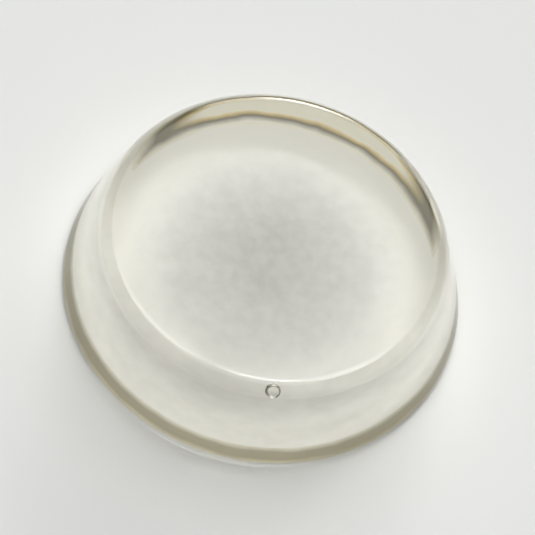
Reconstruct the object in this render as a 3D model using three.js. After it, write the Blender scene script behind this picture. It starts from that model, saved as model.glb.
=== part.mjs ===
// A clear, self-adhesive bumper for the inside of a cabinet door or drawer front.
// Millimetres, +Z up. The origin is the centre of the underside, on the bumper's round axis.

import * as THREE from 'three';

// Driving dimensions of the moulded body

const BASE_DIAMETER = 19.0;
const TOTAL_HEIGHT = 4.8;
const WALL_LEAN_DEGREES = 16;
const TOP_EDGE_RADIUS = 0.65;
const BOTTOM_EDGE_RADIUS = 0.2;

// Driving dimensions of the adhesive film

const FILM_THICKNESS = 0.15;
const FILM_EDGE_INSET = 1.45;

// Smoothness of the round surfaces

const SEGMENTS_ROUND = 96;
const STEPS_TOP_EDGE = 10;
const STEPS_BOTTOM_EDGE = 7;

// Materials

const clearVinyl = new THREE.MeshStandardMaterial({
  color: 0xe4e2cf,
  roughness: 0.06,
  metalness: 0,
  transparent: true,
  opacity: 0.45,
});

const adhesive = new THREE.MeshStandardMaterial({
  color: 0xd9d9d3,
  roughness: 0.5,
  metalness: 0,
  transparent: true,
  opacity: 0.7,
});

// A point on an edge's arc, for an outward normal that climbs by the given angle from level
function arcPoint(centre, radius, angle) {
  return new THREE.Vector2(
    centre.x + radius * Math.cos(angle),
    centre.y + radius * Math.sin(angle),
  );
}

// The points of an arc from one normal angle to another, both ends included
function arc(centre, radius, fromAngle, toAngle, steps) {
  const points = [];
  for (let step = 0; step <= steps; step += 1) {
    const angle = THREE.MathUtils.lerp(fromAngle, toAngle, step / steps);
    points.push(arcPoint(centre, radius, angle));
  }
  return points;
}

// Turns a profile of radius and height about the Z axis
function turned(profile) {
  const geometry = new THREE.LatheGeometry(profile, SEGMENTS_ROUND);
  geometry.rotateX(Math.PI / 2);
  return geometry;
}

// The moulded body: flat base, leaning wall, rounded upper edge and flat top.
// The wall's straight line touches both edge arcs.
function bodyProfile() {
  const lean = THREE.MathUtils.degToRad(WALL_LEAN_DEGREES);
  const bottomCentre = new THREE.Vector2(
    BASE_DIAMETER / 2 - BOTTOM_EDGE_RADIUS,
    FILM_THICKNESS + BOTTOM_EDGE_RADIUS,
  );
  const topCentreHeight = TOTAL_HEIGHT - TOP_EDGE_RADIUS;
  const climb = topCentreHeight - bottomCentre.y;
  const radiusChange = TOP_EDGE_RADIUS - BOTTOM_EDGE_RADIUS;
  const topCentre = new THREE.Vector2(
    bottomCentre.x - climb * Math.tan(lean) - radiusChange / Math.cos(lean),
    topCentreHeight,
  );

  return [
    new THREE.Vector2(0, FILM_THICKNESS),
    ...arc(bottomCentre, BOTTOM_EDGE_RADIUS, -Math.PI / 2, lean, STEPS_BOTTOM_EDGE),
    ...arc(topCentre, TOP_EDGE_RADIUS, lean, Math.PI / 2, STEPS_TOP_EDGE),
    new THREE.Vector2(0, TOTAL_HEIGHT),
  ];
}

// The adhesive film: a thin disc that stops short of the base's edge all round
function filmProfile() {
  const radius = BASE_DIAMETER / 2 - FILM_EDGE_INSET;
  return [
    new THREE.Vector2(0, 0),
    new THREE.Vector2(radius, 0),
    new THREE.Vector2(radius, FILM_THICKNESS),
    new THREE.Vector2(0, FILM_THICKNESS),
  ];
}

function piece(name, profile, material) {
  const mesh = new THREE.Mesh(turned(profile), material);
  mesh.name = name;
  return mesh;
}

const bumper = new THREE.Group();
bumper.name = 'cabinet_door_bumper';
bumper.add(piece('bumper_body', bodyProfile(), clearVinyl));
bumper.add(piece('adhesive_film', filmProfile(), adhesive));

export default bumper;
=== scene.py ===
# Looks for the clear, self-adhesive cabinet door bumper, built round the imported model.
# Metres, +Z up. The origin is the centre of the adhesive's underside.

import math

import bpy
from mathutils import Matrix, Vector, noise


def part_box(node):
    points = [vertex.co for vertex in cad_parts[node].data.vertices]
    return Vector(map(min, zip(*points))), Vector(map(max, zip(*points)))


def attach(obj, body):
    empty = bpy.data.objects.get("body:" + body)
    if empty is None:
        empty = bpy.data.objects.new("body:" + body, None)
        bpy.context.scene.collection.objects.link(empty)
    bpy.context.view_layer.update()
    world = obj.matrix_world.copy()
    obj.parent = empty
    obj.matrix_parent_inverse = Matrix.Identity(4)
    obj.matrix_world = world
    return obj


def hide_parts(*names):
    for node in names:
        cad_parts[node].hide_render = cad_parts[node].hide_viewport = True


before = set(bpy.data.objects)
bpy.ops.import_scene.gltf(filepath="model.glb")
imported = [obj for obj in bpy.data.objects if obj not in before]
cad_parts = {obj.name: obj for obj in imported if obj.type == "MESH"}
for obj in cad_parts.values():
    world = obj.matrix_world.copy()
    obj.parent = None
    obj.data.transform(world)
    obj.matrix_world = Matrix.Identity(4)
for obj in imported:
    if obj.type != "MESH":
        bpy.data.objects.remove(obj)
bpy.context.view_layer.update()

MM = 0.001

# Main sizes, read from the model

body_low, body_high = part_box("bumper_body")
film_low, film_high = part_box("adhesive_film")
BASE_RADIUS = body_high.x
BODY_BOTTOM = body_low.z
BODY_TOP = body_high.z
FILM_RADIUS = film_high.x
FILM_TOP = film_high.z

# Profile of the body's edges and wall

WALL_LEAN = math.radians(16)
TOP_EDGE_WIDTH = 0.95 * MM
TOP_EDGE_DROP = 0.65 * MM
BOTTOM_EDGE_RADIUS = 0.2 * MM

# Unevenness of the moulding: the sunk middle of its top and the waves of its wall

TOP_SAG = 0.03 * MM
WALL_WAVE = 0.006 * MM
WAVES_ROUND = 2.1
WAVES_PER_METRE_UP = 400

# Adhesive, and the shaded ring under the rim round it

FILM_IN_BODY = 0.02 * MM
FILM_ABOVE_FLOOR = 0.004 * MM
RING_INNER = 8.04 * MM
RING_OUTER = 9.28 * MM
RING_LOW = 0.03 * MM
RING_HIGH = 0.165 * MM

# Moulding nib on the top edge; its angle is 0 at the flat top

NIB_AZIMUTH = math.radians(230)
NIB_ANGLE = math.radians(45)
NIB_RADIUS = 0.36 * MM
NIB_RISE = 0.15 * MM
NIB_IN_BODY = 0.03 * MM

# Smoothness of the round surfaces

SEGMENTS = 240
STEPS_TOP_EDGE = 28
STEPS_BOTTOM_EDGE = 8
STEPS_WALL = 12
STEPS_TOP = 24
STEPS_BASE = 10
STEPS_NIB = 14

# Clear vinyl

WHITE = (1, 1, 1)
VINYL_ROUGHNESS = 0.02
VINYL_REFRACTION = 1.53
VINYL_CLOUD = (0.995, 0.995, 0.99)
VINYL_CLOUD_SCALE = 260
VINYL_TINT = (0.93, 0.90, 0.72, 1)
VINYL_TINT_DENSITY = 32

# Painted shade on the adhesive: tones from its grey middle, which is painted shade, out to its own pale
# colour at the edge: share of the way out, colour

FILM_SHADE_TONES = [
    (0.17, (0.64, 0.64, 0.64)),
    (0.34, (0.72, 0.72, 0.715)),
    (0.56, (0.79, 0.79, 0.78)),
    (0.84, (0.94, 0.94, 0.925)),
]
FILM_ROUGHNESS = 0.7
FILM_STIR_SCALE = 600
FILM_STIR = 1.5 * MM
# The painted grey middle sits this far from the axis, towards this azimuth on the light's side
SHADE_MIDDLE_AZIMUTH = 37
SHADE_MIDDLE_SHIFT = 0.6 * MM
MOTTLE_SCALE = 1700
MOTTLE_DETAIL = 4
MOTTLE_DARK = (0.86, 0.86, 0.86)
MOTTLE_REACH = 6.0 * MM
MOTTLE_AT_REACH = 0.25

# Tones of the ring, from its inner to its outer edge: at the sides, towards the light, on the near side

RING_SHADED = [
    (0.08, (0.80, 0.78, 0.70)),
    (0.28, (0.17, 0.155, 0.085)),
    (0.8, (0.21, 0.19, 0.105)),
    (1.0, (0.42, 0.36, 0.21)),
]
RING_LIT = [
    (0.14, (0.90, 0.89, 0.83)),
    (0.40, (0.15, 0.13, 0.06)),
    (0.53, (0.68, 0.55, 0.24)),
    (0.66, (0.97, 0.95, 0.86)),
]
RING_NEAR = [
    (0.0, (0.86, 0.85, 0.79)),
    (0.35, (0.46, 0.435, 0.34)),
    (0.8, (0.48, 0.45, 0.34)),
    (1.0, (0.72, 0.68, 0.54)),
]
RING_ROUGHNESS = 0.8
RING_STIR_SCALE = 500
RING_STIR = 0.4 * MM
LIGHT_AZIMUTH = 37

# Degrees from the light's azimuth where a tone begins and where it is full

RING_LIT_SPAN = (52, 28)
RING_NEAR_SPAN = (82, 104)

# Shared by the materials: a dull shine, and the form of the noise patterns

DULL_SPECULAR = 0.1
NOISE_DARK_SHARE = 0.35
NOISE_MIDDLE = 0.5
NOISE_LIGHT_SHARE = 0.65
CLOUD_DETAIL = 2
STIR_DETAIL = 3

# Floor

FLOOR_HALF = 3.0
FLOOR_ROUGHNESS = 0.6
FLOOR_SPECULAR = 0.2
FLOOR_DARK = (0.84, 0.845, 0.825)
FLOOR_LIGHT = (0.85, 0.855, 0.835)
FLOOR_SCALE = 40

# Soft round patches of the sky: azimuth, elevation, inner and outer radius in degrees, strength

LAMPS = [
    (37, 54, 14, 28, 2.5),
    (32, 80, 8, 20, 1.7),
    (70, 68, 4, 9, 3.7),
    (4, 68, 4, 9, 3.7),
    (28, 75, 3, 5, 7.5),
    (14, 16, 8, 16, 4.3),
    (44, 16, 8, 16, 4.3),
    (38, 12, 5, 10, 9.5),
]

# Weak light from the whole sky, below one elevation and above another

FILL_LOW = 0.10
FILL_HIGH = 0.24
FILL_LOW_END = math.radians(10)
FILL_HIGH_START = math.radians(50)

# The white sky that is seen; gloss and the clear body show it below one elevation, not above another

SEEN_SKY = 1.0
SHOWN_BELOW = math.radians(6)
HIDDEN_ABOVE = math.radians(14)

# Camera

CAMERA_AZIMUTH = 217.1
CAMERA_ELEVATION = 57.7
CAMERA_ROLL = math.radians(16)
CAMERA_DISTANCE = 246 * MM
CAMERA_TARGET_HEIGHT = 2.2 * MM
CAMERA_LENS = 350
CAMERA_SENSOR = 36
CAMERA_NEAR_END = 0.01


def direction(azimuth, elevation):
    """The unit vector towards an azimuth and an elevation in degrees."""
    around = math.radians(azimuth)
    up = math.radians(elevation)
    return Vector((math.cos(up) * math.cos(around), math.cos(up) * math.sin(around), math.sin(up)))


# Profiles: rows of radius, height and wave, from the axis below to the axis above


def arc_points(centre, radius, first, last, steps):
    """Radius and height of the points of an edge's arc."""
    points = []
    for k in range(steps + 1):
        angle = first + (last - first) * k / steps
        points.append((centre[0] + radius * math.cos(angle), centre[1] + radius * math.sin(angle)))
    return points


BOTTOM_CENTRE = (BASE_RADIUS - BOTTOM_EDGE_RADIUS, BODY_BOTTOM + BOTTOM_EDGE_RADIUS)
LOWER_EDGE = arc_points(BOTTOM_CENTRE, BOTTOM_EDGE_RADIUS, -math.pi / 2, WALL_LEAN, STEPS_BOTTOM_EDGE)
WALL_FOOT_RADIUS, WALL_FOOT_HEIGHT = LOWER_EDGE[-1]

# The top edge is a quarter of an ellipse; its angle is 0 at the flat top and grows down to the wall

TOP_EDGE_END = math.atan2(TOP_EDGE_WIDTH, TOP_EDGE_DROP * math.tan(WALL_LEAN))
TOP_EDGE_HEIGHT = BODY_TOP - TOP_EDGE_DROP
WALL_TOP_HEIGHT = TOP_EDGE_HEIGHT + TOP_EDGE_DROP * math.cos(TOP_EDGE_END)
WALL_TOP_RADIUS = WALL_FOOT_RADIUS - (WALL_TOP_HEIGHT - WALL_FOOT_HEIGHT) * math.tan(WALL_LEAN)
FLAT_RADIUS = WALL_TOP_RADIUS - TOP_EDGE_WIDTH * math.sin(TOP_EDGE_END)


def top_edge_point(angle):
    """Radius and height of a point on the top edge."""
    radius = FLAT_RADIUS + TOP_EDGE_WIDTH * math.sin(angle)
    height = TOP_EDGE_HEIGHT + TOP_EDGE_DROP * math.cos(angle)
    return radius, height


def body_profile():
    """The moulded body: flat base, leaning wall, soft top edge and a top that sinks a little."""
    rows = [(0, BODY_BOTTOM, 0)]
    for k in range(1, STEPS_BASE):
        rows.append((BOTTOM_CENTRE[0] * k / STEPS_BASE, BODY_BOTTOM, 0))
    for radius, height in LOWER_EDGE:
        rows.append((radius, height, 0))
    for k in range(1, STEPS_WALL):
        share = k / STEPS_WALL
        radius = WALL_FOOT_RADIUS + (WALL_TOP_RADIUS - WALL_FOOT_RADIUS) * share
        height = WALL_FOOT_HEIGHT + (WALL_TOP_HEIGHT - WALL_FOOT_HEIGHT) * share
        rows.append((radius, height, WALL_WAVE * math.sin(math.pi * share)))
    for k in range(STEPS_TOP_EDGE + 1):
        radius, height = top_edge_point(TOP_EDGE_END * (1 - k / STEPS_TOP_EDGE))
        rows.append((radius, height, 0))
    for k in range(1, STEPS_TOP):
        share = 1 - k / STEPS_TOP
        rows.append((FLAT_RADIUS * share, BODY_TOP - TOP_SAG * (1 - share * share) ** 2, 0))
    rows.append((0, BODY_TOP - TOP_SAG, 0))
    return rows


def film_profile():
    """The adhesive: a thin disc with its top just inside the body."""
    low = FILM_ABOVE_FLOOR
    high = FILM_TOP + FILM_IN_BODY
    return [(0, low, 0), (FILM_RADIUS, low, 0), (FILM_RADIUS, high, 0), (0, high, 0)]


def nib_profile():
    """A tiny low blister that the mould leaves on the top edge, its foot just inside the body."""
    rows = [(0, -NIB_IN_BODY, 0)]
    for k in range(STEPS_NIB):
        angle = math.pi / 2 * k / STEPS_NIB
        rise = (NIB_RISE + NIB_IN_BODY) * math.sin(angle) - NIB_IN_BODY
        rows.append((NIB_RADIUS * math.cos(angle), rise, 0))
    rows.append((0, NIB_RISE, 0))
    return rows


# Meshes


def circle_points(radius, height, wave):
    """A ring of points, with a slight waviness of its radius."""
    points = []
    for k in range(SEGMENTS):
        angle = 2 * math.pi * k / SEGMENTS
        outward = Vector((math.cos(angle), math.sin(angle), 0))
        swell = wave * noise.noise(outward * WAVES_ROUND + Vector((0, 0, height * WAVES_PER_METRE_UP)))
        points.append(outward * (radius + swell) + Vector((0, 0, height)))
    return points


def new_piece(name, points, faces, material, smooth=False):
    """A piece of the scene made of points and faces, with one material."""
    mesh = bpy.data.meshes.new(name)
    mesh.from_pydata(points, [], faces)
    mesh.update()
    for face in mesh.polygons:
        face.use_smooth = smooth
    mesh.materials.append(material)
    piece = bpy.data.objects.new(name, mesh)
    bpy.context.scene.collection.objects.link(piece)
    return piece


def turned(profile):
    """Points and faces of a closed turned shape whose profile starts and ends on the axis."""
    points = []
    rings = []
    for radius, height, wave in profile:
        start = len(points)
        if radius == 0:
            points.append(Vector((0, 0, height)))
            rings.append([start])
        else:
            points.extend(circle_points(radius, height, wave))
            rings.append(list(range(start, start + SEGMENTS)))
    faces = []
    for low, high in zip(rings, rings[1:]):
        for k in range(SEGMENTS):
            after = (k + 1) % SEGMENTS
            if len(low) == 1:
                faces.append((low[0], high[after], high[k]))
            elif len(high) == 1:
                faces.append((low[k], low[after], high[0]))
            else:
                faces.append((low[k], low[after], high[after], high[k]))
    return points, faces


def flat_ring(inner, outer, low, high):
    """Points and faces of a closed flat ring."""
    corners = [(inner, low), (outer, low), (outer, high), (inner, high)]
    points = []
    for radius, height in corners:
        points.extend(circle_points(radius, height, 0))
    faces = []
    for side in range(len(corners)):
        first = side * SEGMENTS
        second = (side + 1) % len(corners) * SEGMENTS
        for k in range(SEGMENTS):
            after = (k + 1) % SEGMENTS
            faces.append((first + k, first + after, second + after, second + k))
    return points, faces


# Nodes of materials and of the sky; an input is a number, a vector or another node's output


def fill_input(tree, socket, value):
    """Gives an input its value, or links the output that is given."""
    if isinstance(value, bpy.types.NodeSocket):
        tree.links.new(value, socket)
    else:
        socket.default_value = value


def calculated(tree, operation, *values):
    """The result of a sum on numbers."""
    node = tree.nodes.new("ShaderNodeMath")
    node.operation = operation
    for socket, value in zip(node.inputs, values):
        fill_input(tree, socket, value)
    return node.outputs["Value"]


def calculated_vector(tree, operation, *values, result="Vector"):
    """The result of a sum on vectors."""
    node = tree.nodes.new("ShaderNodeVectorMath")
    node.operation = operation
    for socket, value in zip(node.inputs, values):
        fill_input(tree, socket, value)
    return node.outputs[result]


def mapped(tree, value, source, target=(0, 1), eased=False):
    """A value brought from one range to another and kept within it."""
    node = tree.nodes.new("ShaderNodeMapRange")
    if eased:
        node.interpolation_type = "SMOOTHSTEP"
    node.inputs["From Min"].default_value = source[0]
    node.inputs["From Max"].default_value = source[1]
    node.inputs["To Min"].default_value = target[0]
    node.inputs["To Max"].default_value = target[1]
    tree.links.new(value, node.inputs["Value"])
    return node.outputs["Result"]


def mixed(tree, share, first, second, blend="MIX"):
    """Two colours mixed by a share."""
    node = tree.nodes.new("ShaderNodeMixRGB")
    node.blend_type = blend
    tree.links.new(share, node.inputs["Fac"])
    tree.links.new(first, node.inputs["Color1"])
    tree.links.new(second, node.inputs["Color2"])
    return node.outputs["Color"]


def ramped(tree, share, stops):
    """Colours along a share from 0 to 1; each stop is a share and a colour."""
    ramp = tree.nodes.new("ShaderNodeValToRGB")
    while len(ramp.color_ramp.elements) < len(stops):
        ramp.color_ramp.elements.new(1)
    for element, (position, colour) in zip(ramp.color_ramp.elements, stops):
        element.position = position
        element.color = (*colour, 1)
    tree.links.new(share, ramp.inputs["Fac"])
    return ramp.outputs["Color"]


def own_place(tree):
    """A point's place in the piece's own coordinates."""
    return tree.nodes.new("ShaderNodeTexCoord").outputs["Object"]


def noise_share(tree, scale, detail):
    """A soft noise pattern over the piece's own coordinates."""
    pattern = tree.nodes.new("ShaderNodeTexNoise")
    pattern.inputs["Scale"].default_value = scale
    pattern.inputs["Detail"].default_value = detail
    tree.links.new(own_place(tree), pattern.inputs["Vector"])
    return pattern.outputs["Fac"]


def noise_colour(tree, scale, detail, dark, light):
    """A colour that varies softly between two tones."""
    stops = [(NOISE_DARK_SHARE, dark), (NOISE_LIGHT_SHARE, light)]
    return ramped(tree, noise_share(tree, scale, detail), stops)


def flat_offset(tree, middle):
    """A point's offset from an upright line through a middle, without its height."""
    moved = calculated_vector(tree, "SUBTRACT", own_place(tree), middle)
    return calculated_vector(tree, "MULTIPLY", moved, (1, 1, 0))


def stirred(tree, value, scale, amount):
    """A value made uneven by a noise pattern."""
    centred = calculated(tree, "SUBTRACT", noise_share(tree, scale, STIR_DETAIL), NOISE_MIDDLE)
    return calculated(tree, "MULTIPLY_ADD", centred, amount, value)


def new_material(name):
    """A material, its nodes and its shader."""
    material = bpy.data.materials.new(name)
    material.use_nodes = True
    return material, material.node_tree, material.node_tree.nodes["Principled BSDF"]


def vinyl_material():
    """Clear, faintly yellow soft plastic."""
    material, tree, shader = new_material("clear_vinyl")
    shader.inputs["Transmission Weight"].default_value = 1
    shader.inputs["Roughness"].default_value = VINYL_ROUGHNESS
    shader.inputs["IOR"].default_value = VINYL_REFRACTION
    colour = noise_colour(tree, VINYL_CLOUD_SCALE, CLOUD_DETAIL, VINYL_CLOUD, WHITE)
    tree.links.new(colour, shader.inputs["Base Color"])
    tint = tree.nodes.new("ShaderNodeVolumeAbsorption")
    tint.inputs["Color"].default_value = VINYL_TINT
    tint.inputs["Density"].default_value = VINYL_TINT_DENSITY
    tree.links.new(tint.outputs["Volume"], tree.nodes["Material Output"].inputs["Volume"])
    return material


def adhesive_material():
    """Hazy adhesive, mottled in the middle where its contact is uneven, under painted shade: a grey
    middle, moved towards the light's side, that pales outwards to the adhesive's own colour.
    """
    material, tree, shader = new_material("adhesive")
    shader.inputs["Roughness"].default_value = FILM_ROUGHNESS
    shader.inputs["Specular IOR Level"].default_value = DULL_SPECULAR
    # Painted shade: the grey middle, moved towards the light's side, paling towards the edge
    offset = flat_offset(tree, direction(SHADE_MIDDLE_AZIMUTH, 0) * SHADE_MIDDLE_SHIFT)
    radius = calculated_vector(tree, "LENGTH", offset, result="Value")
    uneven = stirred(tree, radius, FILM_STIR_SCALE, FILM_STIR)
    tone = ramped(tree, mapped(tree, uneven, (0, FILM_RADIUS)), FILM_SHADE_TONES)
    mottle = noise_colour(tree, MOTTLE_SCALE, MOTTLE_DETAIL, MOTTLE_DARK, WHITE)
    share = mapped(tree, radius, (0, MOTTLE_REACH), (1, MOTTLE_AT_REACH))
    colour = mixed(tree, share, tone, mottle, "MULTIPLY")
    tree.links.new(colour, shader.inputs["Base Color"])
    return material


def ring_material():
    """The unlit gap round the adhesive: dark olive, golden and pale where light gets under the rim."""
    material, tree, shader = new_material("gap_shade")
    shader.inputs["Roughness"].default_value = RING_ROUGHNESS
    shader.inputs["Specular IOR Level"].default_value = DULL_SPECULAR
    offset = flat_offset(tree, (0, 0, 0))
    radius = calculated_vector(tree, "LENGTH", offset, result="Value")
    uneven = stirred(tree, radius, RING_STIR_SCALE, RING_STIR)
    share = mapped(tree, uneven, (RING_INNER, RING_OUTER))
    outward = calculated_vector(tree, "NORMALIZE", offset)
    to_light = direction(LIGHT_AZIMUTH, 0)
    facing = calculated_vector(tree, "DOT_PRODUCT", outward, to_light, result="Value")
    colour = ramped(tree, share, RING_SHADED)
    for tones, span in ((RING_LIT, RING_LIT_SPAN), (RING_NEAR, RING_NEAR_SPAN)):
        begins, full = (math.cos(math.radians(angle)) for angle in span)
        reached = mapped(tree, facing, (begins, full), eased=True)
        colour = mixed(tree, reached, colour, ramped(tree, share, tones))
    tree.links.new(colour, shader.inputs["Base Color"])
    return material


def floor_material():
    """A plain pale floor."""
    material, tree, shader = new_material("floor")
    shader.inputs["Roughness"].default_value = FLOOR_ROUGHNESS
    shader.inputs["Specular IOR Level"].default_value = FLOOR_SPECULAR
    colour = noise_colour(tree, FLOOR_SCALE, CLOUD_DETAIL, FLOOR_DARK, FLOOR_LIGHT)
    tree.links.new(colour, shader.inputs["Base Color"])
    return material


# Body and adhesive

vinyl = vinyl_material()

body = new_piece("bumper_body_look", *turned(body_profile()), vinyl, smooth=True)
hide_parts("bumper_body")
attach(body, "root")

film = new_piece("adhesive_film_look", *turned(film_profile()), adhesive_material())
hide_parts("adhesive_film")
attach(film, "root")

# Shaded ring under the rim; its top is inside the body, so the body shows it clearly

ring_shape = flat_ring(RING_INNER, RING_OUTER, RING_LOW, RING_HIGH)
ring = new_piece("gap_shade", *ring_shape, ring_material())
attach(ring, "root")

# Moulding nib, seated square on the top edge

nib_out, nib_height = top_edge_point(NIB_ANGLE)
nib_tilt = math.atan2(TOP_EDGE_DROP * math.sin(NIB_ANGLE), TOP_EDGE_WIDTH * math.cos(NIB_ANGLE))
nib_turn = Matrix.Rotation(NIB_AZIMUTH, 4, "Z")
nib_seat = Matrix.Translation((nib_out, 0, nib_height)) @ Matrix.Rotation(nib_tilt, 4, "Y")
nib = new_piece("moulding_nib", *turned(nib_profile()), vinyl, smooth=True)
nib.data.transform(nib_turn @ nib_seat)
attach(nib, "root")

# Floor

floor_corners = []
for along, across in ((-1, -1), (1, -1), (1, 1), (-1, 1)):
    floor_corners.append((along * FLOOR_HALF, across * FLOOR_HALF, 0))
floor = new_piece("floor", floor_corners, [(0, 1, 2, 3)], floor_material())

# Sky: soft bright patches behind the bumper and above it, weak light from elsewhere

world = bpy.data.worlds.new("studio")
bpy.context.scene.world = world
world.use_nodes = True
sky_tree = world.node_tree
background = sky_tree.nodes["Background"]
background.inputs["Color"].default_value = (*WHITE, 1)
sky_place = sky_tree.nodes.new("ShaderNodeTexCoord").outputs["Generated"]
sky_parts = sky_tree.nodes.new("ShaderNodeSeparateXYZ")
sky_tree.links.new(sky_place, sky_parts.inputs["Vector"])
fill_source = (math.sin(FILL_LOW_END), math.sin(FILL_HIGH_START))
sky = mapped(sky_tree, sky_parts.outputs["Z"], fill_source, (FILL_LOW, FILL_HIGH), eased=True)
for azimuth, elevation, inner, outer, strength in LAMPS:
    middle = direction(azimuth, elevation)
    nearness = calculated_vector(sky_tree, "DOT_PRODUCT", sky_place, middle, result="Value")
    patch_source = (math.cos(math.radians(outer)), math.cos(math.radians(inner)))
    patch = mapped(sky_tree, nearness, patch_source, (0, strength), eased=True)
    sky = calculated(sky_tree, "ADD", sky, patch)

# The camera sees the sky as plain white, and so do gloss and the clear body near the horizon

light_path = sky_tree.nodes.new("ShaderNodeLightPath")
glossy_ray = light_path.outputs["Is Glossy Ray"]
clear_ray = light_path.outputs["Is Transmission Ray"]
seen_in_body = calculated(sky_tree, "MAXIMUM", glossy_ray, clear_ray)
horizon_source = (math.sin(SHOWN_BELOW), math.sin(HIDDEN_ABOVE))
near_horizon = mapped(sky_tree, sky_parts.outputs["Z"], horizon_source, (1, 0), eased=True)
shown_white = calculated(sky_tree, "MULTIPLY", seen_in_body, near_horizon)
seen_white = calculated(sky_tree, "MAXIMUM", shown_white, light_path.outputs["Is Camera Ray"])
pick = sky_tree.nodes.new("ShaderNodeMix")
pick.data_type = "FLOAT"
sky_tree.links.new(seen_white, pick.inputs["Factor"])
sky_tree.links.new(sky, pick.inputs["A"])
pick.inputs["B"].default_value = SEEN_SKY
sky_tree.links.new(pick.outputs["Result"], background.inputs["Strength"])

# Camera at the photograph's viewing angle

view = direction(CAMERA_AZIMUTH, CAMERA_ELEVATION)
target = Vector((0, 0, CAMERA_TARGET_HEIGHT))
camera_data = bpy.data.cameras.new("camera")
camera_data.lens = CAMERA_LENS
camera_data.sensor_width = CAMERA_SENSOR
camera_data.clip_start = CAMERA_NEAR_END
camera = bpy.data.objects.new("camera", camera_data)
bpy.context.scene.collection.objects.link(camera)
turn = (-view).to_track_quat("-Z", "Y").to_matrix().to_4x4()
roll = Matrix.Rotation(CAMERA_ROLL, 4, "Z")
camera.matrix_world = Matrix.Translation(target + view * CAMERA_DISTANCE) @ turn @ roll
bpy.context.scene.camera = camera

# Plain tones, and light that passes sharply through the clear body

bpy.context.scene.view_settings.view_transform = "Standard"
cycles = bpy.context.scene.cycles
cycles.blur_glossy = 0
cycles.max_bounces = 24
cycles.transmission_bounces = 20
cycles.glossy_bounces = 12
cycles.diffuse_bounces = 6
cycles.caustics_reflective = True
cycles.caustics_refractive = True
